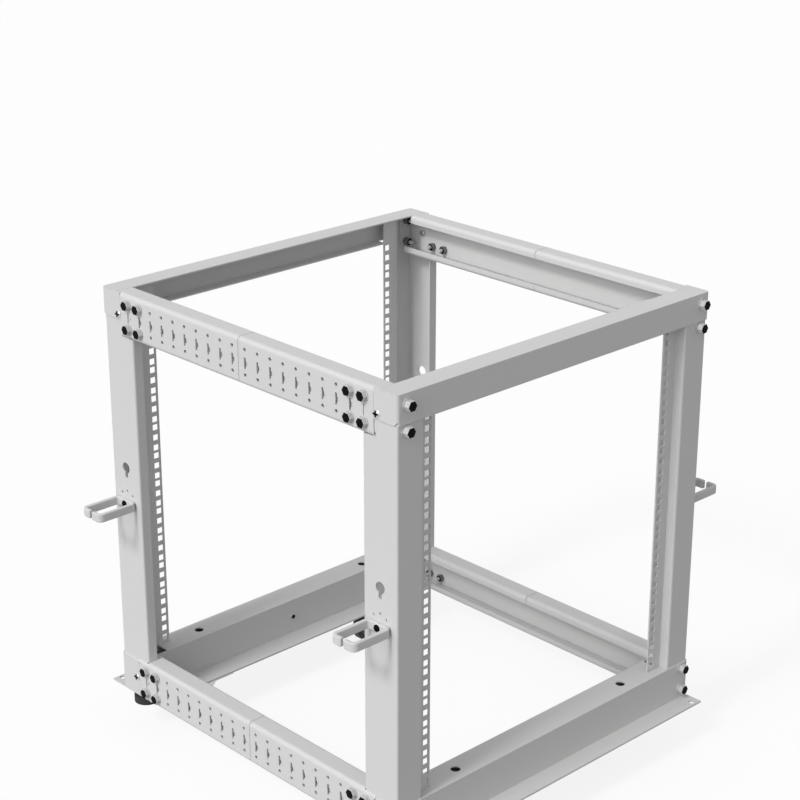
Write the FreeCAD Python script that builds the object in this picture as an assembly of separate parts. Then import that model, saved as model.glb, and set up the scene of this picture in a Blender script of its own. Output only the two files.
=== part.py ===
import FreeCAD, Part
import math
import os

# Four post open frame rack, 12 rack units high, on swivel casters.
# Millimetres. +Z is up, +Y runs from the front posts to the rear posts.
# The origin is the middle of the footprint, at floor level.

V = FreeCAD.Vector

# ---- rack standard ---------------------------------------------------------
RACK_UNIT = 44.45
UNIT_COUNT = 12
UNIT_HOLES = (6.35, 22.225, 38.1)
HOLE_COLUMNS_APART = 465.1
RACK_HOLE = 9.5
FLANGE_GAP = 450.0

# ---- frame -----------------------------------------------------------------
POSTS_WIDE = 596.0
POSTS_DEEP = 598.0
SHEET = 2.0
BEND = 3.0
UNIT_CLEARANCE = 2.0
SEAT = 0.3
OVERRUN = 1.0

# ---- posts -----------------------------------------------------------------
POST_WEB = 62.0
POST_FLANGE = 28.0
POST_STEP = 14.5
POST_LIP = 16.0

# ---- front and rear beams --------------------------------------------------
TOP_BEAM_TALL = 40.5
TOP_BEAM_SHELF = 32.0
BASE_BEAM_TALL = 59.5
BASE_BEAM_SHELF = 42.0
END_FLAP_CHAMFER = 6.0
SHELF_END = 51.0
WALL_FROM_SIDE = 5.0
SHELF_HOLE = 14.0
SHELF_HOLE_FROM_SIDE = 127.5
SHELF_HOLE_FROM_FACE = 20.0

# ---- base plates -----------------------------------------------------------
PLATE_THICK = 2.5
PLATE_OUT = 32.0
PLATE_IN = 77.0
FLOOR_HOLE = 9.0
FLOOR_HOLE_FROM_SIDE = 12.3
FLOOR_HOLE_OUT = 24.5

# ---- side beams, two telescoping halves each -------------------------------
SIDE_TALL = 65.0
SIDE_TOP = 32.0
SIDE_LIP = 12.0
SIDE_BEND = 6.0
SIDE_END = 40.0
SIDE_SEAM_GAP = 0.8
SIDE_SLOT = 38.5
SIDE_TAIL = 18.0
BAR_END = 27.0
BAR_CLEARANCE = 1.0
STATION_FIRST = 57.4
STATION_PITCH = 25.4
STATION_COUNT = 10
BOLT_ROW_UPPER = 14.8
BOLT_ROW_LOWER = 50.0
SMALL_HOLE = 5.0
SLOT_ROW = 33.7
SLOT_WIDE = 3.2
SLOT_TALL = 16.5
NOTCH_REACH = 4.4
NOTCH_ROOT = 8.0
NOTCH_TIP = 3.6

# ---- cable rings -----------------------------------------------------------
RING_REACH = 66.0
RING_WIDE = 44.0
RING_TALL = 13.0
RING_MOUTH = 5.0
RING_HEIGHT = 309.0
RING_SHEET = 6.0
RING_BEND = 9.0
RING_ROUND = 1.8

# ---- keyholes in the post webs ---------------------------------------------
KEYHOLE_EYE = 16.5
KEYHOLE_SLOT = 6.0
KEYHOLE_DROP = 13.0
KEYHOLE_ABOVE_RING = 61.0
TIE_HOLE = 4.0
TIE_APART = 12.0
TIE_RISE = 7.0
TIE_LIFT = 5.0

# ---- casters ---------------------------------------------------------------
CASTER_TALL = 63.5
CASTER_FROM_SIDE = 118.0
CASTER_FROM_FACE = 46.0
CASTER_PLATE = 60.0
CASTER_PLATE_THICK = 2.5
RACE_RADIUS = 19.0
RACE_TALL = 3.0
RACE_GAP = 0.3
WHEEL_RADIUS = 25.0
WHEEL_WIDE = 20.0
WHEEL_TRAIL = 24.0
WHEEL_ROUND = 3.0
WHEEL_RIM = 4.0
WHEEL_DISH = 3.0
FORK_SHEET = 2.5
FORK_GAP = 2.0
FORK_LEG = 20.0
FORK_BACK = 14.0
HUB_RADIUS = 9.0
AXLE_RADIUS = 4.0
AXLE_CLEARANCE = 0.3
AXLE_HEAD = 7.0
AXLE_HEAD_THICK = 3.0

# ---- levelling feet --------------------------------------------------------
FOOT_RADIUS = 19.0
FOOT_TALL = 22.0
FOOT_NECK = 11.0
FOOT_RING = 6.0
FOOT_FROM_SIDE = 24.0
FOOT_FROM_FACE = 20.0

# ---- worked out ------------------------------------------------------------
HALF_W = POSTS_WIDE / 2
HALF_D = POSTS_DEEP / 2
BASE_Z = CASTER_TALL
BEAM_Z = BASE_Z + PLATE_THICK
UNITS_Z = BASE_Z + BASE_BEAM_TALL + UNIT_CLEARANCE
UNITS_TALL = UNIT_COUNT * RACK_UNIT
TOP_Z = UNITS_Z + UNITS_TALL + UNIT_CLEARANCE + TOP_BEAM_TALL
POST_REACH = (POSTS_WIDE - FLANGE_GAP) / 2
POST_FACE = POST_REACH - POST_FLANGE
COLUMN_IN = (POSTS_WIDE - HOLE_COLUMNS_APART) / 2
SIDE_SEAM = POSTS_DEEP / 2
POST_TOP = TOP_Z - SIDE_BEND - SEAT
UPPER_FOOT = TOP_Z - SIDE_TALL
LOWER_CROWN = BASE_Z + SIDE_TALL


# ---- shape helpers ---------------------------------------------------------
def loop_face(points):
    """Plane face inside a closed loop of corner points."""
    return Part.Face(Part.makePolygon([V(*p) for p in points] + [V(*points[0])]))


def box(x0, x1, y0, y1, z0, z1):
    """Box between two corners, given axis by axis."""
    return Part.makeBox(x1 - x0, y1 - y0, z1 - z0, V(x0, y0, z0))


def rod(radius, start, end):
    """Solid cylinder from one point to another."""
    axis = V(*end) - V(*start)
    return Part.makeCylinder(radius, axis.Length, V(*start), axis)


def tidy(shape):
    """One solid with its coplanar faces merged."""
    return shape.removeSplitter()


def bent_edges(points, shift, sheet, bend):
    """Edges of a folded path, moved to its left by shift.

    The path is one skin of a sheet whose wall lies on its left. Every corner
    turns about one centre for both skins, with bend as the outside radius.
    """
    flat = [V(p[0], p[1], 0) for p in points]
    first_run = (flat[1] - flat[0]).normalize()
    last_run = (flat[-1] - flat[-2]).normalize()
    here = flat[0] + V(-first_run.y, first_run.x, 0) * shift
    edges = []
    for before, corner, after in zip(flat, flat[1:], flat[2:]):
        come = (corner - before).normalize()
        go = (after - corner).normalize()
        side = 1.0 if come.cross(go).z > 0 else -1.0
        radius = bend if side > 0 else bend - sheet
        cut = radius * math.tan(come.getAngle(go) / 2)
        centre = corner - come * cut + V(-come.y, come.x, 0) * side * radius
        moved = radius - side * shift
        start = centre + (corner - come * cut - centre).normalize() * moved
        middle = centre + (corner - centre).normalize() * moved
        end = centre + (corner + go * cut - centre).normalize() * moved
        edges.append(Part.LineSegment(here, start).toShape())
        edges.append(Part.Arc(start, middle, end).toShape())
        here = end
    finish = flat[-1] + V(-last_run.y, last_run.x, 0) * shift
    edges.append(Part.LineSegment(here, finish).toShape())
    return edges


def bent_sheet(points, sheet, bend, rise):
    """Solid of a sheet folded along a path in the XY plane and raised by rise."""
    outer = bent_edges(points, 0.0, sheet, bend)
    inner = bent_edges(points, sheet, sheet, bend)
    start = Part.LineSegment(outer[0].Vertexes[0].Point, inner[0].Vertexes[0].Point)
    finish = Part.LineSegment(outer[-1].Vertexes[-1].Point, inner[-1].Vertexes[-1].Point)
    edges = outer + inner + [start.toShape(), finish.toShape()]
    wire = Part.Wire(Part.__sortEdges__(edges))
    return Part.Face(wire).extrude(V(0, 0, rise))


def through_x(outline, x0, x1):
    """Prism along X through an outline of (y, z) points."""
    return loop_face([(x0, y, z) for y, z in outline]).extrude(V(x1 - x0, 0, 0))


def ring_of_points(sides, across, y, z):
    """Corner points of a small many-sided hole, flat to flat across."""
    radius = across / 2 / math.cos(math.pi / sides)
    turn = math.pi / sides
    return [(y + radius * math.cos(turn + 2 * math.pi * i / sides),
             z + radius * math.sin(turn + 2 * math.pi * i / sides)) for i in range(sides)]


def left(shape):
    return shape


def right(shape):
    """Copy of a left-hand piece on the right-hand side."""
    return shape.mirror(V(0, 0, 0), V(1, 0, 0))


def rear(shape):
    """Copy of a front piece at the rear."""
    return shape.mirror(V(0, 0, 0), V(0, 1, 0))


# ---- posts -----------------------------------------------------------------
def rack_holes(x):
    """Square holes of one mounting column, centred on x."""
    y0 = -HALF_D + POST_STEP - SHEET
    y1 = -HALF_D + POST_STEP + 2 * SHEET
    half = RACK_HOLE / 2
    holes = []
    for unit in range(UNIT_COUNT):
        for step in UNIT_HOLES:
            z = UNITS_Z + unit * RACK_UNIT + step
            holes.append(box(x - half, x + half, y0, y1, z - half, z + half))
    return holes


def keyhole(y):
    """Round eye with a narrower slot below it, through the side web."""
    eye_z = BASE_Z + RING_HEIGHT + KEYHOLE_ABOVE_RING
    x0 = -HALF_W - SHEET
    x1 = -HALF_W + 2 * SHEET
    half = KEYHOLE_SLOT / 2
    eye = rod(KEYHOLE_EYE / 2, (x0, y, eye_z), (x1, y, eye_z))
    foot = rod(half, (x0, y, eye_z - KEYHOLE_DROP), (x1, y, eye_z - KEYHOLE_DROP))
    neck = box(x0, x1, y - half, y + half, eye_z - KEYHOLE_DROP, eye_z)
    return eye.fuse([foot, neck])


def tie_holes(y):
    """Three small holes above the cable ring."""
    x0 = -HALF_W - SHEET
    x1 = -HALF_W + 2 * SHEET
    base = BASE_Z + RING_HEIGHT + RING_TALL
    spots = ((-TIE_APART, TIE_RISE), (0.0, TIE_RISE + TIE_LIFT), (TIE_APART, TIE_RISE))
    return [through_x(ring_of_points(8, TIE_HOLE, y + dy, base + dz), x0, x1)
            for dy, dz in spots]


def post():
    """Front left post: a folded sheet with a lip, web, face, step and flange."""
    outline = [(POST_LIP, POST_WEB), (0.0, POST_WEB), (0.0, 0.0), (POST_FACE, 0.0),
               (POST_FACE, POST_STEP), (POST_REACH, POST_STEP)]
    path = [(-HALF_W + u, -HALF_D + v) for u, v in outline]
    body = bent_sheet(path, SHEET, BEND, POST_TOP - BEAM_Z)
    body.translate(V(0, 0, BEAM_Z))
    middle = -HALF_D + POST_WEB / 2
    cuts = rack_holes(-HALF_W + COLUMN_IN) + [keyhole(middle)] + tie_holes(middle)
    return body.cut(cuts + lip_cuts())


def lip_cuts():
    """Ends of the post where the lip gives way to the side beams.

    The web is also slit, for the lower flange of the upper beam.
    """
    x0 = -HALF_W - OVERRUN
    x1 = -HALF_W + POST_LIP + OVERRUN
    fold = -HALF_D + POST_WEB - BEND
    back = -HALF_D + POST_WEB + OVERRUN
    low = box(x0, x1, fold, back, BEAM_Z - OVERRUN, LOWER_CROWN + SEAT)
    high = box(x0, x1, fold, back, UPPER_FOOT - SEAT, TOP_Z)
    slit = box(x0, -HALF_W + SHEET + OVERRUN, -HALF_D + SIDE_SLOT, back,
               UPPER_FOOT - SEAT, UPPER_FOOT + SIDE_BEND + SEAT)
    return [low, high, slit]


# ---- front and rear beams --------------------------------------------------
def wrapped_beam(bottom, top, shelf):
    """Front beam: face, two end flaps wrapped round the posts, and a shelf."""
    out_x = HALF_W + SHEET
    out_y = -HALF_D - SHEET
    flap_y = -HALF_D + SIDE_END - SEAT
    path = [(-out_x, flap_y), (-out_x, out_y), (out_x, out_y), (out_x, flap_y)]
    wall = bent_sheet(path, SHEET, BEND + SHEET, top - bottom)
    wall.translate(V(0, 0, bottom))
    cover = box(-out_x, out_x, out_y, -HALF_D + shelf, top - SHEET, top)
    cover = cover.makeFillet(BEND + SHEET, [e for e in cover.Edges if upright(e, out_y)])
    body = wall.fuse(cover)
    for side in (-1, 1):
        far = side * (out_x + OVERRUN)
        near = side * (out_x - SHEET - OVERRUN)
        y0 = out_y - OVERRUN
        z0 = bottom - OVERRUN
        reach = END_FLAP_CHAMFER + 2 * OVERRUN
        nose = loop_face([(far, y0, z0), (far, y0 + reach, z0), (far, y0, z0 + reach)])
        body = body.cut(nose.extrude(V(near - far, 0, 0)))
    return tidy(body)


def upright(edge, y):
    """True for a vertical edge that lies in the plane of y."""
    ends = [v.Point for v in edge.Vertexes]
    rises = abs(ends[0].z - ends[1].z) > abs(ends[0].x - ends[1].x)
    return rises and all(abs(p.y - y) < 1e-6 for p in ends)


def top_beam():
    return wrapped_beam(TOP_Z - TOP_BEAM_TALL, TOP_Z, TOP_BEAM_SHELF)


def base_beam():
    """Lower front beam: a box closed by an inner wall, its shelf cut out round the posts."""
    top = BASE_Z + BASE_BEAM_TALL
    y1 = -HALF_D + BASE_BEAM_SHELF
    wall_x = HALF_W - WALL_FROM_SIDE
    wall = box(-wall_x, wall_x, y1 - SHEET, y1, BEAM_Z, top)
    body = tidy(wrapped_beam(BEAM_Z, top, BASE_BEAM_SHELF).fuse(wall))
    z0 = top - SHEET - OVERRUN
    z1 = top + OVERRUN
    flange = -HALF_D + POST_STEP
    cuts = []
    for side in (-1, 1):
        outer = side * HALF_W
        for reach, y_from, y_to in ((POST_FACE + SEAT, -HALF_D, y1 - SHEET),
                                    (SHELF_END, flange - SEAT, y1 - SHEET),
                                    (POST_REACH + SEAT, flange - SEAT, flange + SHEET + SEAT)):
            inner = side * (HALF_W - reach)
            cuts.append(box(min(outer, inner), max(outer, inner), y_from, y_to, z0, z1))
        ledge = side * (HALF_W - WALL_FROM_SIDE)
        cuts.append(box(min(outer, ledge), max(outer, ledge), -HALF_D, y1 + OVERRUN, z0, z1))
        x = side * (HALF_W - SHELF_HOLE_FROM_SIDE)
        y = -HALF_D + SHELF_HOLE_FROM_FACE
        cuts.append(rod(SHELF_HOLE / 2, (x, y, z0), (x, y, z1)))
    return body.cut(cuts)


def base_plate():
    """Flat plate under the front beam, with a hole at each outer corner."""
    plate = box(-HALF_W, HALF_W, -HALF_D - PLATE_OUT, -HALF_D + PLATE_IN, BASE_Z, BEAM_Z)
    y = -HALF_D - FLOOR_HOLE_OUT
    holes = [rod(FLOOR_HOLE / 2, (x, y, BASE_Z - OVERRUN), (x, y, BEAM_Z + OVERRUN))
             for x in (-HALF_W + FLOOR_HOLE_FROM_SIDE, HALF_W - FLOOR_HOLE_FROM_SIDE)]
    return plate.cut(holes)


# ---- side beams ------------------------------------------------------------
def side_section(y0, y1, top):
    """Left side beam section between two depths: a channel with two lips."""
    outer = -HALF_W - SHEET
    lip = outer + SIDE_TOP
    bottom = top - SIDE_TALL
    path = [(lip, top - SIDE_LIP), (lip, top), (outer, top), (outer, bottom),
            (lip, bottom), (lip, bottom + SIDE_LIP)]
    body = bent_sheet(path, SHEET, SIDE_BEND, y1 - y0)
    body.rotate(V(0, 0, 0), V(1, 0, 0), 90)
    body.translate(V(0, y1, 0))
    return body


def stations(top, count, first):
    """Holes of a side beam: a slot notched on its front side, between two small holes."""
    x0 = -HALF_W - 2 * SHEET
    x1 = -HALF_W + 2 * SHEET
    half = SLOT_WIDE / 2
    tall = SLOT_TALL / 2
    prisms = []
    for index in range(count):
        y = first + index * STATION_PITCH
        for row in (BOLT_ROW_UPPER, BOLT_ROW_LOWER):
            prisms.append(through_x(ring_of_points(8, SMALL_HOLE, y, top - row), x0, x1))
        z = top - SLOT_ROW
        root = NOTCH_ROOT / 2
        tip = NOTCH_TIP / 2
        outline = [(y + half, z + tall), (y + half, z - tall), (y - half, z - tall),
                   (y - half, z - root), (y - half - NOTCH_REACH, z - tip),
                   (y - half - NOTCH_REACH, z + tip), (y - half, z + root), (y - half, z + tall)]
        prisms.append(through_x(outline, x0, x1))
    return prisms


def front_end(body, top):
    """Front end of a side beam, shaped to pass round, or into, the front post."""
    out = -HALF_W - 2 * SHEET
    wide = -HALF_W + 2 * SIDE_TOP
    bottom = top - SIDE_TALL
    cuts = [box(out, -HALF_W + SHEET + SEAT, -HALF_D, -HALF_D + SIDE_END,
                bottom - OVERRUN, top - SHEET)]
    if top == TOP_Z:
        shelf = -HALF_D + TOP_BEAM_SHELF + SEAT
        cuts.append(box(out, wide, -HALF_D, shelf, top - SIDE_TALL / 2, top + OVERRUN))
        return body.cut(cuts)
    clear = -HALF_D + POST_WEB + SEAT
    cuts.append(box(out, wide, -HALF_D, -HALF_D + SIDE_END, bottom - OVERRUN, top + OVERRUN))
    cuts.append(box(-HALF_W, wide, -HALF_D, clear, top - SIDE_TALL / 2, top + OVERRUN))
    cuts.append(box(-HALF_W, wide, -HALF_D, -HALF_D + PLATE_IN + SEAT,
                    bottom - OVERRUN, top - SIDE_TALL / 2))
    return body.cut(cuts)


def side_half(top, seam, first):
    """Front half of a left side beam, up to the seam."""
    body = side_section(-HALF_D + SIDE_TAIL, seam, top)
    return front_end(body, top).cut(stations(top, STATION_COUNT, first))


def side_front(top):
    return side_half(top, -HALF_D + SIDE_SEAM, -HALF_D + STATION_FIRST)


def side_rear(top):
    """Rear half: the shape of the front half, with its holes facing the same way."""
    seam = HALF_D - SIDE_SEAM - SIDE_SEAM_GAP
    last = HALF_D - STATION_FIRST
    body = rear(front_end(side_section(-HALF_D + SIDE_TAIL, seam, top), top))
    first = last - (STATION_COUNT - 1) * STATION_PITCH
    return body.cut(stations(top, STATION_COUNT, first))


def side_bar(top):
    """Plain bar behind both halves, against the inner faces of the post webs."""
    x0 = -HALF_W + SHEET
    rise = SHEET + BAR_CLEARANCE
    return box(x0, x0 + SHEET, -HALF_D + BAR_END, HALF_D - BAR_END,
               top - SIDE_TALL + rise, top - rise)


# ---- cable rings -----------------------------------------------------------
def cable_ring():
    """Open ring of folded strip on the side web of the front left post."""
    near = (POST_WEB - RING_WIDE) / 2
    far = near + RING_WIDE
    mid = POST_WEB / 2
    gap = RING_MOUTH / 2
    outline = [(-RING_REACH, mid - gap), (-RING_REACH, near), (0.0, near), (0.0, far),
               (-RING_REACH, far), (-RING_REACH, mid + gap)]
    path = [(-HALF_W + u, -HALF_D + v) for u, v in outline]
    ring = bent_sheet(path, RING_SHEET, RING_BEND, RING_TALL)
    ring.translate(V(0, 0, BASE_Z + RING_HEIGHT))
    loose = [e for e in ring.Edges if any(p.Point.x < -HALF_W - OVERRUN for p in e.Vertexes)]
    return ring.makeFillet(RING_ROUND, loose)


# ---- casters and feet ------------------------------------------------------
def caster_plate(x, y):
    """Mounting plate with the fixed upper race."""
    half = CASTER_PLATE / 2
    top = BASE_Z
    plate = box(x - half, x + half, y - half, y + half, top - CASTER_PLATE_THICK, top)
    race = rod(RACE_RADIUS, (x, y, top - CASTER_PLATE_THICK - RACE_TALL),
               (x, y, top - CASTER_PLATE_THICK))
    return tidy(plate.fuse(race))


def caster_fork(x, y, way):
    """Fork with a crown under the race, two legs and the axle."""
    crown = BASE_Z - CASTER_PLATE_THICK - RACE_TALL - RACE_GAP
    inner = WHEEL_WIDE / 2 + FORK_GAP
    outer = inner + FORK_SHEET
    trail = x + way * WHEEL_TRAIL
    back = x - way * FORK_BACK
    nose = trail + way * FORK_LEG / 2
    cap = box(min(back, nose), max(back, nose), y - outer, y + outer,
              crown - FORK_SHEET, crown)
    disc = rod(RACE_RADIUS, (x, y, crown - FORK_SHEET), (x, y, crown))
    legs = []
    for side in (-1, 1):
        y0 = y + side * inner
        plate = loop_face([(back, y0, crown), (nose, y0, crown), (nose, y0, WHEEL_RADIUS),
                           (trail - way * FORK_LEG / 2, y0, WHEEL_RADIUS)])
        legs.append(plate.extrude(V(0, side * FORK_SHEET, 0)))
        legs.append(rod(FORK_LEG / 2, (trail, y0, WHEEL_RADIUS),
                        (trail, y + side * outer, WHEEL_RADIUS)))
        legs.append(rod(AXLE_HEAD, (trail, y + side * outer, WHEEL_RADIUS),
                        (trail, y + side * (outer + AXLE_HEAD_THICK), WHEEL_RADIUS)))
    pin = rod(AXLE_RADIUS, (trail, y - outer, WHEEL_RADIUS), (trail, y + outer, WHEEL_RADIUS))
    return tidy(cap.fuse(legs + [disc, pin]))


def caster_wheel(x, y, way):
    """Tyre and hub turned as one body, bored for the axle."""
    trail = x + way * WHEEL_TRAIL
    half = WHEEL_WIDE / 2
    hub = half + FORK_GAP - SEAT
    bore = AXLE_RADIUS + AXLE_CLEARANCE
    tread = WHEEL_RADIUS - WHEEL_ROUND
    section = [(bore, -hub), (HUB_RADIUS, -hub), (HUB_RADIUS, -half + WHEEL_DISH),
               (tread - WHEEL_RIM, -half + WHEEL_DISH), (tread - WHEEL_RIM, -half),
               (tread, -half), (WHEEL_RADIUS, -half + WHEEL_ROUND),
               (WHEEL_RADIUS, half - WHEEL_ROUND), (tread, half), (tread - WHEEL_RIM, half),
               (tread - WHEEL_RIM, half - WHEEL_DISH), (HUB_RADIUS, half - WHEEL_DISH),
               (HUB_RADIUS, hub), (bore, hub)]
    face = loop_face([(trail, y + s, WHEEL_RADIUS + r) for r, s in section])
    return face.revolve(V(trail, y, WHEEL_RADIUS), V(0, 1, 0), 360)


def levelling_foot(x, y):
    """Screw-in foot held clear of the floor: ring nut, neck and rubber pad."""
    section = [(0, 0), (FOOT_NECK, 0), (FOOT_NECK, -FOOT_RING), (FOOT_RADIUS, -FOOT_TALL / 2),
               (FOOT_RADIUS, -FOOT_TALL), (0, -FOOT_TALL)]
    face = loop_face([(x + r, y, BASE_Z + s) for r, s in section])
    return face.revolve(V(x, y, BASE_Z), V(0, 0, 1), 360)


# ---- assembly --------------------------------------------------------------
def build():
    parts = {}
    upper = TOP_Z
    corner_post = post()
    ring = cable_ring()
    for end, turn in (("front", left), ("rear", rear)):
        for side, flip in (("left", left), ("right", right)):
            parts[f"post_{end}_{side}"] = flip(turn(corner_post))
            parts[f"cable_ring_{end}_{side}"] = flip(turn(ring))
        parts[f"top_beam_{end}"] = turn(top_beam())
        parts[f"base_beam_{end}"] = turn(base_beam())
        parts[f"base_plate_{end}"] = turn(base_plate())
    for level, top in (("upper", upper), ("lower", LOWER_CROWN)):
        for side, flip in (("left", left), ("right", right)):
            parts[f"side_beam_{level}_{side}_front"] = flip(side_front(top))
            parts[f"side_beam_{level}_{side}_rear"] = flip(side_rear(top))
            parts[f"side_bar_{level}_{side}"] = flip(side_bar(top))
    for end, sy in (("front", -1), ("rear", 1)):
        for side, sx in (("left", -1), ("right", 1)):
            x = sx * (HALF_W - CASTER_FROM_SIDE)
            y = sy * (HALF_D - CASTER_FROM_FACE)
            parts[f"caster_plate_{end}_{side}"] = caster_plate(x, y)
            parts[f"caster_fork_{end}_{side}"] = caster_fork(x, y, -1)
            parts[f"caster_wheel_{end}_{side}"] = caster_wheel(x, y, -1)
            foot_x = sx * (HALF_W - FOOT_FROM_SIDE)
            foot_y = sy * (HALF_D - FOOT_FROM_FACE)
            parts[f"levelling_foot_{end}_{side}"] = levelling_foot(foot_x, foot_y)
    return parts


os.makedirs("parts", exist_ok=True)
for name, shape in build().items():
    solid = shape.Solids[0] if len(shape.Solids) == 1 else shape
    if len(shape.Solids) != 1 or not shape.isValid():
        raise ValueError(f"{name}: {len(shape.Solids)} solids, valid {shape.isValid()}")
    solid.exportStep(f"parts/{name}.step")
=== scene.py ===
import math

import bpy
import numpy as np
from mathutils import Matrix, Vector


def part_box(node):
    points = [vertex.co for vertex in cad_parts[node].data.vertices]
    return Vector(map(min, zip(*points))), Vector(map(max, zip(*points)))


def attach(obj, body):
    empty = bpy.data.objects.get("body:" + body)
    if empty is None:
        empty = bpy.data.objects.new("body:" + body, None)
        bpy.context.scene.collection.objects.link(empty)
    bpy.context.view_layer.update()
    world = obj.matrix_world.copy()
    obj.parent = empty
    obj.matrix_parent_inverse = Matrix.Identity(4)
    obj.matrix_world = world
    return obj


# Looks of a four post open frame rack: paint, bolts, screws, casters and feet.
# Lengths are metres. +Z is up, +Y runs from the front posts to the rear posts.

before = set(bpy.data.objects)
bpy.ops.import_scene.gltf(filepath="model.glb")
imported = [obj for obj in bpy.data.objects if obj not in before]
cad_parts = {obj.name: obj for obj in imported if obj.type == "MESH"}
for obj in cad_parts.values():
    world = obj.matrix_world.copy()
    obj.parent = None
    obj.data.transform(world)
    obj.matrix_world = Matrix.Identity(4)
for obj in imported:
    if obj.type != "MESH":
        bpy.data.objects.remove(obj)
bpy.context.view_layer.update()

MM = 0.001
ENDS = (("front", -1), ("rear", 1))
SIDES = (("left", -1), ("right", 1))
SQUARE = np.array([(-1, -1), (1, -1), (1, 1), (-1, 1)], float)

# ---- what the frame gives --------------------------------------------------
TOP_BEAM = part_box("top_beam_rear")
BASE_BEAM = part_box("base_beam_rear")
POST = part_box("post_rear_right")
SIDE_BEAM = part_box("side_beam_upper_right_rear")
LOW_SIDE_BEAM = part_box("side_beam_lower_right_rear")
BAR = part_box("side_bar_upper_right")
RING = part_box("cable_ring_rear_right")
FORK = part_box("caster_fork_rear_right")
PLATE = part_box("caster_plate_rear_right")
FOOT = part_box("levelling_foot_rear_right")

# ---- sheets and folds ------------------------------------------------------
# FROM_FACE is in from the posts' front or rear face, FROM_SIDE in from their side face,
# and BELOW_TOP and BELOW_BASE are down from the top of a beam.
SHEET = 2.0 * MM
RING_SHEET = 6.0 * MM
LOW_BEAM_START = 62.3 * MM
BEAM_END_FROM_FACE = 40.0 * MM
BEAM_FROM_SIDE = 2.3 * MM
BEAM_BEND = 6.0 * MM
BEAM_LIP = 12.0 * MM
BEND_POINTS = 7
LOW_FLANGE = 30.0 * MM
TAB_ROOT = 4.0 * MM
TAB_REACH = 26.0 * MM
TAB_BELOW_TOP = 8.0 * MM
TAB_BOTTOM = 56.0 * MM
TAB_CHAMFER = 3.0 * MM
FLANGE_DEEP = 19.0 * MM
FLANGE_GAP = 0.5 * MM

# ---- places of the fasteners -----------------------------------------------
STATIONS = (57.4 * MM, 82.8 * MM)
SIDE_ROWS = (14.8 * MM, 50.0 * MM)
FACE_BOLT_FROM_SIDE = 14.6 * MM
TOP_FACE_ROWS = (15.2 * MM, 49.9 * MM)
BASE_FACE_ROWS = (7.5 * MM, 41.5 * MM)
SCREW_FROM_FACE = 34.3 * MM
SCREW_BELOW_TOP = 32.7 * MM
SCREW_BELOW_BASE = 27.0 * MM
EARTH_ABOVE_PLATE = 28.0 * MM
WALL_FROM_FACE = 42.0 * MM
RIVET_FROM_EDGE = 7.0 * MM
AXLE_FACE = 17.5 * MM
HUB_FACE = 7.0 * MM

# ---- fasteners -------------------------------------------------------------
ROUND_SIDES = 32
HEX_SIDES = 24
STUD_SIDES = 16
CREASE = 35.0
HEX_FLAT = 13.0 * MM
HEX_EASE = 0.4 * MM
HEX_FACE = 0.25 * MM
SIDE_BOLT_TALL = 7.0 * MM
FACE_BOLT_TALL = 10.0 * MM
WASHER_RADIUS = 8.2 * MM
WASHER_THICK = 1.5 * MM
WASHER_EASE = 0.25 * MM
NUT_FLAT = 11.0 * MM
STUD_RADIUS = 3.0 * MM
STUD_PROUD = 6.5 * MM
THREAD_PITCH = 0.6 * MM
THREAD_DEEP = 0.25 * MM
DOME_RINGS = 8
DOME_CROWN = 0.08
DOME_RIM = 0.25
PAN_RADIUS = 5.8 * MM
PAN_TALL = 2.6 * MM
SLOT_LONG = 0.78
SLOT_WIDE = 0.22
SLOT_LIFT = 0.05 * MM
SMALL_NUT_FLAT = 8.0 * MM
SMALL_NUT_TALL = 4.0 * MM
SMALL_STUD_RADIUS = 2.5 * MM
SMALL_STUD_PROUD = 2.0 * MM
NUT_EASE = 0.6 * MM
RING_SCREW_RADIUS = 5.0 * MM
RING_SCREW_TALL = 4.0 * MM
EARTH_RADIUS = 3.2 * MM
EARTH_TALL = 2.5 * MM
EARTH_WASHER = 4.4 * MM
RIVET_RADIUS = 4.5 * MM
RIVET_TALL = 1.8 * MM
RACE_TALL = 3.0 * MM
CROWN_THICK = 2.5 * MM
KING_NUT_TALL = 5.0 * MM
AXLE_NUT_FLAT = 10.0 * MM
AXLE_NUT_TALL = 4.0 * MM
HUB_DISC_RADIUS = 17.7 * MM
HUB_DISC_THICK = 0.8 * MM
FOOT_NUT_FLAT = 24.0 * MM
FOOT_NUT_TALL = 5.0 * MM

# ---- light and camera ------------------------------------------------------
# Angles and spreads are degrees. The lens, its sensor and the shift are as Blender takes them.
CAMERA_AT = (-1.8174, -1.8998, 1.5353)
CAMERA_HEADING = 43.635
CAMERA_PITCH = 20.907
CAMERA_ROLL = 0.063
CAMERA_LENS = 88.69
CAMERA_SHIFT = (-0.0018, 0.0026)
CAMERA_SENSOR = 36.0
CAMERA_SEES = 200.0
KEY_FROM = (-1.0, -0.04, 1.0)
KEY_SPREAD = 12.0
KEY_STRENGTH = 1.35
SOFT_KEY_FROM = (-1.0, -0.05, 0.4)
SOFT_KEY_SPREAD = 45.0
SOFT_KEY_STRENGTH = 1.0
AMBIENT = 0.465
FLOOR_GREY = (0.28, 0.28, 0.28)
FLOOR_GLOW = 0.85
FLOOR_REACH = 40.0
WHITE = (1.0, 1.0, 1.0)

# ---- colours ---------------------------------------------------------------
PAINT = (0.655, 0.655, 0.652)
ZINC = (0.58, 0.59, 0.60)
BOLT_ZINC = (0.56, 0.56, 0.56)
# Nut zinc darkened as painted shade: the nuts sit in shade inside the beams.
SHADED_NUT_ZINC = (0.16, 0.16, 0.16)
# Black of the bolt faces and small screws, also used as painted shade on nut faces and cross slots.
BLACK_OXIDE_AND_SHADE = (0.003, 0.003, 0.003)
TYRE = (0.018, 0.018, 0.019)
HUB = (0.16, 0.165, 0.17)
FOOT_RUBBER = (0.014, 0.014, 0.015)
GRAIN_DEEP = 0.2 * MM


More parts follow.
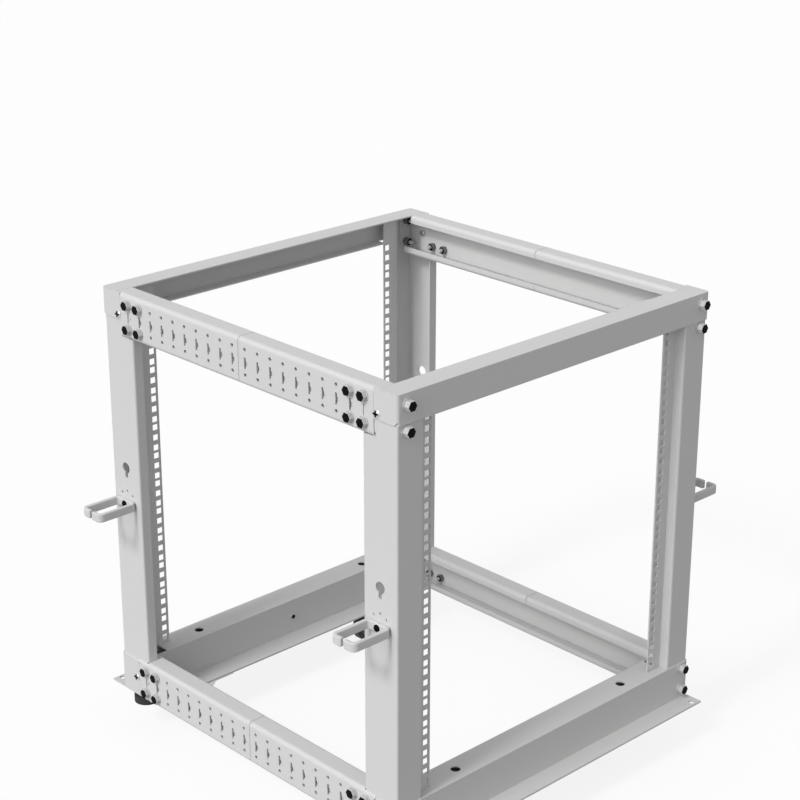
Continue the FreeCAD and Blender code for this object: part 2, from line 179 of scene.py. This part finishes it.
# ---- materials -------------------------------------------------------------
class Value:
    """A shader socket with arithmetic: each operator adds one Math node."""

    def __init__(self, finish, socket):
        self.finish = finish
        self.socket = socket

    def _math(self, operation, first, second):
        return self.finish.node("ShaderNodeMath", {"operation": operation}, {0: first, 1: second})

    def __add__(self, other):
        return self._math("ADD", self, other)

    def __radd__(self, other):
        return self._math("ADD", other, self)

    def __sub__(self, other):
        return self._math("SUBTRACT", self, other)

    def __rsub__(self, other):
        return self._math("SUBTRACT", other, self)

    def __mul__(self, other):
        return self._math("MULTIPLY", self, other)

    def __rmul__(self, other):
        return self._math("MULTIPLY", other, self)


class Finish:
    """A material and its one Principled shader, with a method that adds any other node."""

    def __init__(self, name, **sockets):
        self.material = bpy.data.materials.new(name)
        self.material.use_nodes = True
        self.tree = self.material.node_tree
        self.tree.nodes.clear()
        self.shader = self.tree.nodes.new("ShaderNodeBsdfPrincipled")
        output = self.tree.nodes.new("ShaderNodeOutputMaterial")
        self.tree.links.new(self.shader.outputs["BSDF"], output.inputs["Surface"])
        self.set(**sockets)

    def put(self, socket, value):
        """A number, a colour or another node's output into a socket."""
        if isinstance(value, Value):
            self.tree.links.new(value.socket, socket)
        elif hasattr(value, "__len__") and len(value) == 3 and socket.type == "RGBA":
            socket.default_value = (*value, 1.0)
        else:
            socket.default_value = value

    def set(self, **sockets):
        """Values or links of the shader's sockets, named with _ for a space."""
        for name, value in sockets.items():
            self.put(self.shader.inputs[name.replace("_", " ")], value)

    def node(self, kind, settings=None, sockets=None, output=0):
        """Any node: its settings first, then the values or links of its sockets."""
        made = self.tree.nodes.new(kind)
        for name, value in (settings or {}).items():
            setattr(made, name, value)
        for name, value in (sockets or {}).items():
            self.put(made.inputs[name], value)
        return Value(self, made.outputs[output])

    def noise(self, scale, detail):
        """Noise from 0 to 1 on Object coordinates."""
        place = self.node("ShaderNodeTexCoord", output="Object")
        return self.node("ShaderNodeTexNoise", sockets={
            "Vector": place, "Scale": scale, "Detail": detail, "Roughness": 0.5})

    def mottle(self, middle, swing, scale, detail=2.0):
        """Roughness = middle + swing x (noise - 0.5)."""
        self.set(Roughness=middle + swing * (self.noise(scale, detail) - 0.5))

    def grain(self, scale, strength, detail=2.0):
        """Fine relief: a bump whose height is noise x GRAIN_DEEP."""
        self.set(Normal=self.node("ShaderNodeBump", sockets={
            "Height": self.noise(scale, detail), "Strength": strength, "Distance": GRAIN_DEEP}))


def rack_paint():
    """Light grey powder coat with a fine orange peel."""
    finish = Finish("light_grey_powder_coat", Base_Color=PAINT, Specular_IOR_Level=0.35)
    finish.mottle(middle=0.6, swing=0.1, scale=14.0)
    finish.grain(scale=900.0, strength=0.12, detail=3.0)
    return finish.material


def zinc_plate():
    """Bright zinc with faint mottling."""
    finish = Finish("zinc_plate", Base_Color=ZINC, Metallic=1.0)
    finish.mottle(middle=0.3, swing=0.16, scale=220.0, detail=4.0)
    return finish.material


def bolt_zinc():
    """Dull zinc of the bolts, washers and bolt ends."""
    finish = Finish("bolt_zinc", Base_Color=BOLT_ZINC, Specular_IOR_Level=0.3)
    finish.mottle(middle=0.5, swing=0.16, scale=300.0, detail=4.0)
    return finish.material


def nut_zinc():
    """Zinc of the nuts inside, darkened as painted shade."""
    finish = Finish("nut_zinc_in_painted_shade", Base_Color=SHADED_NUT_ZINC, Specular_IOR_Level=0.3)
    finish.mottle(middle=0.5, swing=0.16, scale=300.0, detail=4.0)
    return finish.material


def black_oxide_and_painted_shade():
    """Dead black of the end faces of bolts and of the small screws, and painted shade on the end
    faces of the nuts and in the screws' cross slots.
    """
    finish = Finish("black_oxide_and_painted_shade", Base_Color=BLACK_OXIDE_AND_SHADE, Specular_IOR_Level=0.05)
    finish.mottle(middle=0.6, swing=0.1, scale=400.0)
    return finish.material


def tyre_rubber():
    """Black rubber with a fine grain."""
    finish = Finish("tyre_rubber", Base_Color=TYRE)
    finish.mottle(middle=0.62, swing=0.12, scale=300.0)
    finish.grain(scale=1500.0, strength=0.15)
    return finish.material


def hub_plastic():
    """Dark grey moulded plastic of the wheels' hub discs."""
    finish = Finish("hub_plastic", Base_Color=HUB)
    finish.mottle(middle=0.45, swing=0.08, scale=260.0)
    return finish.material


def foot_rubber():
    """Matt black rubber of the levelling feet."""
    finish = Finish("foot_rubber", Base_Color=FOOT_RUBBER)
    finish.mottle(middle=0.7, swing=0.1, scale=300.0)
    return finish.material


MATERIALS = {
    "paint": rack_paint(),
    "zinc": zinc_plate(),
    "bolt": bolt_zinc(),
    "nut": nut_zinc(),
    "black": black_oxide_and_painted_shade(),
    "tyre": tyre_rubber(),
    "hub": hub_plastic(),
    "foot": foot_rubber(),
}
NODE_FINISHES = (
    ("caster_wheel", "tyre"),
    ("caster_", "zinc"),
    ("levelling_foot", "foot"),
    ("", "paint"),
)


# ---- surfaces --------------------------------------------------------------
def turned(profile, sides, flats=0):
    """Points and faces of a turned piece, standing on its axis and closed at both ends.

    Point = (r cos a, r sin a, h) for each (r, h) of the profile and each angle a.
    With flats, r is the distance to a flat and is divided by the cosine of a,
    folded into one flat.
    """
    profile = np.asarray(profile, float)
    angle = np.arange(sides) * 2 * math.pi / sides
    reach = np.ones(sides)
    if flats:
        fold = 2 * math.pi / flats
        reach = 1 / np.cos(angle % fold - fold / 2)
    radius = profile[:, :1] * reach
    points = np.stack([radius * np.cos(angle), radius * np.sin(angle),
                       np.repeat(profile[:, 1:], sides, axis=1)], axis=2).reshape(-1, 3)
    ring = np.arange(sides)
    after = (ring + 1) % sides
    step = np.arange(len(profile) - 1)[:, None] * sides
    quads = np.stack([ring + step, after + step, after + step + sides, ring + step + sides],
                     axis=2).reshape(-1, 4)
    foot = ring[::-1]
    crown = ring + (len(profile) - 1) * sides
    return points, [*quads.tolist(), foot.tolist(), crown.tolist()]


def along(axis):
    """3x3 turn whose third column is the axis; the first two are square to it."""
    axis = np.asarray(axis, float)
    side = np.array([0.0, 0.0, 1.0]) if abs(axis[2]) < 0.9 else np.array([1.0, 0.0, 0.0])
    first = np.cross(side, axis)
    first /= np.linalg.norm(first)
    return np.stack([first, np.cross(axis, first), axis], axis=1)


def repeated(shape, places):
    """One shape set down at each (point, axis): place + turn x point, as whole arrays."""
    points, faces = shape
    turns = np.stack([along(axis) for _, axis in places])
    starts = np.array([point for point, _ in places], float)
    moved = np.einsum("pij,vj->pvi", turns, points) + starts[:, None]
    count = len(points)
    joined = [[corner + number * count for corner in face]
              for number in range(len(places)) for face in faces]
    return moved.reshape(-1, 3), joined


def piece(name, shape, material, body="rack"):
    """A mesh object at the origin, in its finish and riding on its body."""
    points, faces = shape
    mesh = bpy.data.meshes.new(name)
    mesh.from_pydata(points.tolist(), [], faces)
    mesh.polygons.foreach_set("use_smooth", np.ones(len(mesh.polygons), bool))
    mesh.set_sharp_from_angle(angle=math.radians(CREASE))
    mesh.materials.append(MATERIALS[material])
    made = bpy.data.objects.new(name, mesh)
    bpy.context.scene.collection.objects.link(made)
    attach(made, body)


def carried(outline, start, stop, along_x=False):
    """A closed outline carried straight from one place to another, along Y or along X.

    Point = (a, start or stop, z) for each (a, z) of the outline along Y, with the first
    two swapped along X. The outline itself closes both ends, and the faces are turned
    round where its signed area says that they would point inwards.
    """
    outline = np.asarray(outline, float)
    count = len(outline)
    way = np.repeat([start, stop], count)
    across = np.tile(outline[:, 0], 2)
    level = np.tile(outline[:, 1], 2)
    points = np.column_stack([way, across, level] if along_x else [across, way, level])
    here = np.arange(count)
    after = (here + 1) % count
    walls = np.stack([here, here + count, after + count, after], axis=1)
    faces = [*walls.tolist(), here.tolist(), (here[::-1] + count).tolist()]
    area = np.sum(outline[here, 0] * outline[after, 1] - outline[after, 0] * outline[here, 1])
    if ((area > 0) != (stop > start)) != along_x:
        faces = [face[::-1] for face in faces]
    return points, faces


def corners():
    """The rack's four corners: end, side, and the signs of X and Y there."""
    for end, sy in ENDS:
        for side, sx in SIDES:
            yield end, side, sx, sy


def middle(box):
    """Middle of a node's box."""
    return [(low + high) / 2 for low, high in zip(*box)]


def quarter_bend(centre, radius):
    """Quarter circle of a fold: (x, z) = centre + radius (cos a, sin a), a from 0 to 90 degrees."""
    return [(centre[0] + radius * math.cos(a), centre[1] + radius * math.sin(a))
            for a in np.linspace(0.0, math.pi / 2, BEND_POINTS)]


# ---- folds of the beams ----------------------------------------------------
def beam_ends():
    """Top flange and lip of each lower side beam, carried on inside the post.

    The outline's x is the distance in from the post's side face, and the bend between
    flange and lip is a quarter circle on both skins.
    """
    top = LOW_SIDE_BEAM[1].z
    lip = top - BEAM_LIP
    centre = (LOW_FLANGE - BEAM_BEND, top - BEAM_BEND)
    outer = quarter_bend(centre, BEAM_BEND)
    inner = quarter_bend(centre, BEAM_BEND - SHEET)
    fold = [(LOW_FLANGE, lip), *outer, (BEAM_FROM_SIDE, top), (BEAM_FROM_SIDE, top - SHEET),
            *inner[::-1], (LOW_FLANGE - SHEET, lip)]
    for end, side, sx, sy in corners():
        outline = [(sx * (POST[1].x - inwards), z) for inwards, z in fold]
        depths = [sy * (POST[1].y - inwards) for inwards in (BEAM_END_FROM_FACE, LOW_BEAM_START)]
        piece(f"beam_end_{end}_{side}", carried(outline, *depths), "paint")


def end_tabs():
    """Tabs at the ends of the side beams, folded against the posts and bolted to them."""
    for end, side, sx, sy in corners():
        depths = [sy * (POST[1].y - inwards) for inwards in (SHEET, 2 * SHEET)]
        for level, top in (("upper", TOP_BEAM[1].z), ("lower", LOW_SIDE_BEAM[1].z)):
            high, low = top - TAB_BELOW_TOP, top - TAB_BOTTOM
            outline = [(TAB_ROOT, high), (TAB_REACH, high), (TAB_REACH, low + TAB_CHAMFER),
                       (TAB_REACH - TAB_CHAMFER, low), (TAB_ROOT, low)]
            outline = [(sx * (POST[1].x - inwards), z) for inwards, z in outline]
            piece(f"end_tab_{level}_{end}_{side}", carried(outline, *depths), "paint")


def beam_flanges():
    """Bottom flange of each top beam, folded inwards under its face, between the posts."""
    reach = POST[0].x - FLANGE_GAP
    low = TOP_BEAM[0].z
    high = low + SHEET
    for end, sy in ENDS:
        face = sy * POST[1].y
        edge = sy * (POST[1].y - FLANGE_DEEP)
        outline = [(face, low), (edge, low), (edge, high), (face, high)]
        piece(f"top_beam_flange_{end}", carried(outline, -reach, reach, along_x=True), "paint")


# ---- fasteners -------------------------------------------------------------
def hex_head(across, foot, tall):
    """Hexagon head or nut: half its width across flats from foot to tall, both edges eased."""
    flat = across / 2
    return turned([(flat - HEX_EASE, foot), (flat, foot + HEX_EASE), (flat, tall - HEX_EASE),
                   (flat - HEX_EASE, tall)], sides=HEX_SIDES, flats=6)


def hex_face(across, tall):
    """Black end face of a hexagon head, and painted shade on the end face of a nut: a thin plate,
    as wide as the eased end.
    """
    flat = across / 2 - HEX_EASE
    return turned([(flat, tall), (flat, tall + HEX_FACE)], sides=HEX_SIDES, flats=6)


def hex_nut(across, tall):
    """Plain nut: half its width across flats up to tall, with the outer edge eased."""
    flat = across / 2
    return turned([(flat, 0.0), (flat, tall - NUT_EASE), (flat - NUT_EASE, tall)],
                  sides=HEX_SIDES, flats=6)


def washer(radius, thick):
    """Flat disc: the radius from 0 to thick, with both edges eased."""
    return turned([(radius - WASHER_EASE, 0.0), (radius, WASHER_EASE),
                   (radius, thick - WASHER_EASE), (radius - WASHER_EASE, thick)],
                  sides=ROUND_SIDES)


def stud_end(tall, radius):
    """Bolt end: every second ring is THREAD_DEEP smaller, as shallow turned grooves."""
    height = np.linspace(0.0, tall, int(tall / THREAD_PITCH) + 2)
    groove = radius - THREAD_DEEP * (np.arange(len(height)) % 2)
    return turned(np.stack([groove, height], axis=1), sides=STUD_SIDES)


def dome(radius, tall, start=0.0):
    """Low dome: height = tall x (1 - (r / radius)^2), on a short straight rim."""
    share = np.linspace(1.0, DOME_CROWN, DOME_RINGS)
    rim = tall * DOME_RIM
    rows = np.stack([radius * share, start + rim + (tall - rim) * (1 - share ** 2)], axis=1)
    return turned(np.vstack([[radius, start], rows]), sides=ROUND_SIDES)


def cross_slot(radius, lift):
    """Painted shade of the cross recess on the crown of a screw: two thin dark bars, z = lift."""
    half = np.array([radius * SLOT_LONG, radius * SLOT_WIDE])
    bars = np.concatenate([SQUARE * half, SQUARE * half[::-1]])
    points = np.column_stack([bars, np.full(len(bars), lift)])
    return points, [[0, 1, 2, 3], [4, 5, 6, 7]]


def bolts(name, outside, inside, tall):
    """Washers and heads on the outside of the sheets, nuts and bolt ends on the inside."""
    piece(f"washers_{name}", repeated(washer(WASHER_RADIUS, WASHER_THICK), outside), "bolt")
    piece(f"bolts_{name}", repeated(hex_head(HEX_FLAT, WASHER_THICK, tall), outside), "bolt")
    piece(f"bolt_faces_{name}", repeated(hex_face(HEX_FLAT, tall), outside), "black")
    # The nuts' darkened zinc is painted shade.
    piece(f"nuts_{name}", repeated(hex_head(NUT_FLAT, 0.0, tall), inside), "nut")
    # Black end faces of the nuts: painted shade.
    piece(f"nut_faces_{name}", repeated(hex_face(NUT_FLAT, tall), inside), "black")
    piece(f"bolt_ends_{name}", repeated(stud_end(tall + STUD_PROUD, STUD_RADIUS), inside), "bolt")


def screw_back(nut, stud, inside):
    """Small nut and the end of its screw, on the inside of the sheets."""
    piece(nut, repeated(hex_nut(SMALL_NUT_FLAT, SMALL_NUT_TALL), inside), "zinc")
    piece(stud, repeated(stud_end(SMALL_NUT_TALL + SMALL_STUD_PROUD, SMALL_STUD_RADIUS), inside),
          "zinc")


def side_bolts():
    """Bolts of the side beams: four at each end, with their nuts on the bar inside."""
    for level, top in (("upper", TOP_BEAM[1].z), ("lower", LOW_SIDE_BEAM[1].z)):
        for end, side, sx, sy in corners():
            spots = [(sy * (POST[1].y - station), top - row)
                     for station in STATIONS for row in SIDE_ROWS]
            outside = [((sx * SIDE_BEAM[1].x, y, z), (sx, 0, 0)) for y, z in spots]
            inside = [((sx * BAR[0].x, y, z), (-sx, 0, 0)) for y, z in spots]
            bolts(f"side_{level}_{side}_{end}", outside, inside, SIDE_BOLT_TALL)


def face_bolts():
    """Bolts in the front and rear faces of the beams, the second of them on the post."""
    for end, side, sx, sy in corners():
        x = sx * (POST[1].x - FACE_BOLT_FROM_SIDE)
        beam_y, post_y = sy * TOP_BEAM[1].y, sy * POST[1].y
        spots = [(beam_y, TOP_BEAM[1].z - TOP_FACE_ROWS[0]),
                 (post_y, TOP_BEAM[1].z - TOP_FACE_ROWS[1]),
                 (beam_y, BASE_BEAM[1].z - BASE_FACE_ROWS[0]),
                 (beam_y, BASE_BEAM[1].z - BASE_FACE_ROWS[1])]
        outside = [((x, y, z), (0, sy, 0)) for y, z in spots]
        inside = [((x, sy * (POST[1].y - 2 * SHEET), z), (0, -sy, 0)) for _, z in spots]
        bolts(f"face_{side}_{end}", outside, inside, FACE_BOLT_TALL)


def flap_screws():
    """Pan head screws through the end flaps of the front and rear beams."""
    for end, side, sx, sy in corners():
        name = f"{side}_{end}"
        y = sy * (POST[1].y - SCREW_FROM_FACE)
        heights = (TOP_BEAM[1].z - SCREW_BELOW_TOP, BASE_BEAM[1].z - SCREW_BELOW_BASE)
        outside = [((sx * TOP_BEAM[1].x, y, z), (sx, 0, 0)) for z in heights]
        inside = [((sx * BAR[0].x, y, z), (-sx, 0, 0)) for z in heights]
        slot = cross_slot(PAN_RADIUS, PAN_TALL + SLOT_LIFT)
        piece(f"flap_screws_{name}", repeated(dome(PAN_RADIUS, PAN_TALL), outside), "zinc")
        # The cross slots are painted shade: flat black bars in place of the recess.
        piece(f"flap_screw_slots_{name}", repeated(slot, outside), "black")
        screw_back(f"flap_nuts_{name}", f"flap_studs_{name}", inside)


def ring_screws():
    """Black pan head screw that holds each cable ring, and its nut inside the post."""
    for end, side, sx, sy in corners():
        name = f"{side}_{end}"
        _, y, z = middle(RING)
        outside = [((sx * (POST[1].x + RING_SHEET), sy * y, z), (sx, 0, 0))]
        inside = [((sx * (POST[1].x - SHEET), sy * y, z), (-sx, 0, 0))]
        head = dome(RING_SCREW_RADIUS, RING_SCREW_TALL)
        piece(f"ring_screw_{name}", repeated(head, outside), "black")
        screw_back(f"ring_nut_{name}", f"ring_stud_{name}", inside)


def earth_screws():
    """Small black screw on a zinc washer, in the middle of each base beam's inner wall."""
    z = BASE_BEAM[0].z + EARTH_ABOVE_PLATE
    for end, sy in ENDS:
        spot = [((0.0, sy * (POST[1].y - WALL_FROM_FACE), z), (0, -sy, 0))]
        head = dome(EARTH_RADIUS, EARTH_TALL, WASHER_THICK)
        piece(f"earth_washer_{end}", repeated(washer(EARTH_WASHER, WASHER_THICK), spot), "bolt")
        piece(f"earth_screw_{end}", repeated(head, spot), "black")


# ---- casters and feet ------------------------------------------------------
def plate_rivets(name):
    """Four rivets through a caster's plate, one near each of its corners."""
    reach = (PLATE[1].x - PLATE[0].x) / 2 - RIVET_FROM_EDGE
    x, y, _ = middle(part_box(f"caster_plate_{name}"))
    spots = [((x + across * reach, y + along_y * reach, PLATE[0].z + RACE_TALL), (0, 0, -1))
             for across in (-1, 1) for along_y in (-1, 1)]
    piece(f"plate_rivets_{name}", repeated(dome(RIVET_RADIUS, RIVET_TALL), spots), "zinc")


def king_pin_nut(name):
    """Nut of the king pin, under the fork's crown."""
    x, y, _ = middle(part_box(f"caster_plate_{name}"))
    spot = [((x, y, FORK[1].z - CROWN_THICK), (0, 0, -1))]
    piece(f"king_pin_nut_{name}", repeated(hex_nut(HEX_FLAT, KING_NUT_TALL), spot), "zinc",
          f"fork_{name}")


def wheel_details(name):
    """Axle nuts outside the fork's cheeks, and the hub discs on both sides of the wheel."""
    x, y, z = middle(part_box(f"caster_wheel_{name}"))
    nuts = [((x, y + way * AXLE_FACE, z), (0, way, 0)) for way in (-1, 1)]
    discs = [((x, y + way * HUB_FACE, z), (0, way, 0)) for way in (-1, 1)]
    piece(f"axle_nuts_{name}", repeated(hex_nut(AXLE_NUT_FLAT, AXLE_NUT_TALL), nuts), "zinc",
          f"fork_{name}")
    piece(f"hub_discs_{name}", repeated(washer(HUB_DISC_RADIUS, HUB_DISC_THICK), discs), "hub",
          f"wheel_{name}")


def foot_nut(name):
    """Lock nut of a levelling foot, under the base plate."""
    x, y, _ = middle(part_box(f"levelling_foot_{name}"))
    spot = [((x, y, FOOT[1].z), (0, 0, -1))]
    piece(f"foot_nut_{name}", repeated(hex_nut(FOOT_NUT_FLAT, FOOT_NUT_TALL), spot), "black")


def caster_details():
    """Small parts of each caster and levelling foot."""
    for end, side, _, _ in corners():
        name = f"{end}_{side}"
        plate_rivets(name)
        king_pin_nut(name)
        wheel_details(name)
        foot_nut(name)


def finish_nodes():
    """Gives each node of the frame the finish of the first name that it starts with."""
    for name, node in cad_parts.items():
        material = next(look for start, look in NODE_FINISHES if name.startswith(start))
        node.data.materials.clear()
        node.data.materials.append(MATERIALS[material])


# ---- stage, light and camera -----------------------------------------------
def seen_rays(tree):
    """1 for rays from the camera, off a gloss or through glass, and 0 for the rest."""
    path = tree.nodes.new("ShaderNodeLightPath")
    seen = path.outputs["Is Camera Ray"]
    for name in ("Is Glossy Ray", "Is Transmission Ray"):
        most = tree.nodes.new("ShaderNodeMath")
        most.operation = "MAXIMUM"
        tree.links.new(seen, most.inputs[0])
        tree.links.new(path.outputs[name], most.inputs[1])
        seen = most.outputs[0]
    return seen


def floor_material():
    """Pale floor: plain white where it is seen, with the rack's shadow left on it."""
    finish = Finish("pale_floor", Roughness=0.9)
    tree = finish.tree
    seen = Value(finish, seen_rays(tree))
    finish.set(Base_Color=finish.node(
        "ShaderNodeMix", {"data_type": "RGBA"},
        {"Factor": seen, 6: FLOOR_GREY, 7: WHITE}, output=2))
    glow = finish.node("ShaderNodeEmission", sockets={"Strength": 1.0})
    mix = tree.nodes.new("ShaderNodeMixShader")
    tree.links.new((seen * FLOOR_GLOW).socket, mix.inputs[0])
    tree.links.new(finish.shader.outputs[0], mix.inputs[1])
    tree.links.new(glow.socket, mix.inputs[2])
    output = next(node for node in tree.nodes if node.bl_idname == "ShaderNodeOutputMaterial")
    tree.links.new(mix.outputs[0], output.inputs["Surface"])
    return finish.material


def make_floor():
    """One flat square under the rack: (x, y, 0), each of x and y from -reach to reach."""
    points = np.column_stack([SQUARE * FLOOR_REACH, np.zeros(len(SQUARE))])
    mesh = bpy.data.meshes.new("floor")
    mesh.from_pydata(points.tolist(), [], [[0, 1, 2, 3]])
    mesh.materials.append(floor_material())
    made = bpy.data.objects.new("floor", mesh)
    bpy.context.scene.collection.objects.link(made)


def far_lamp(name, direction, spread, strength):
    """Lamp far off in a direction, as soft as its spread in degrees."""
    lamp = bpy.data.lights.new(name, "SUN")
    lamp.angle = math.radians(spread)
    lamp.energy = strength
    made = bpy.data.objects.new(name, lamp)
    aim = np.asarray(direction, float) / np.linalg.norm(direction)
    made.matrix_world = Matrix(along(aim).tolist()).to_4x4()
    bpy.context.scene.collection.objects.link(made)


def make_world(strength):
    """Even light from all round, which looks plain white where it is seen."""
    world = bpy.data.worlds.new("studio")
    world.use_nodes = True
    tree = world.node_tree
    tree.nodes.clear()
    mix = tree.nodes.new("ShaderNodeMixShader")
    tree.links.new(seen_rays(tree), mix.inputs[0])
    for place, level in ((1, strength), (2, 1.0)):
        background = tree.nodes.new("ShaderNodeBackground")
        background.inputs["Color"].default_value = (*WHITE, 1.0)
        background.inputs["Strength"].default_value = level
        tree.links.new(background.outputs[0], mix.inputs[place])
    output = tree.nodes.new("ShaderNodeOutputWorld")
    tree.links.new(mix.outputs[0], output.inputs["Surface"])
    bpy.context.scene.world = world


def make_camera():
    """Camera: turned about Z to its heading, tipped down by its pitch, then rolled."""
    data = bpy.data.cameras.new("camera")
    data.lens = CAMERA_LENS
    data.sensor_width = CAMERA_SENSOR
    data.shift_x, data.shift_y = CAMERA_SHIFT
    data.clip_end = CAMERA_SEES
    camera = bpy.data.objects.new("camera", data)
    turn = (Matrix.Rotation(math.radians(-CAMERA_HEADING), 4, "Z")
            @ Matrix.Rotation(math.radians(90.0 - CAMERA_PITCH), 4, "X")
            @ Matrix.Rotation(math.radians(CAMERA_ROLL), 4, "Z"))
    camera.matrix_world = Matrix.Translation(CAMERA_AT) @ turn
    bpy.context.scene.collection.objects.link(camera)
    bpy.context.scene.camera = camera


# ---- the rack --------------------------------------------------------------
beam_ends()
end_tabs()
beam_flanges()
side_bolts()
face_bolts()
flap_screws()
ring_screws()
earth_screws()
caster_details()
finish_nodes()

make_floor()
far_lamp("key", KEY_FROM, KEY_SPREAD, KEY_STRENGTH)
far_lamp("soft_key", SOFT_KEY_FROM, SOFT_KEY_SPREAD, SOFT_KEY_STRENGTH)
make_world(AMBIENT)
make_camera()
bpy.context.scene.view_settings.view_transform = "Standard"
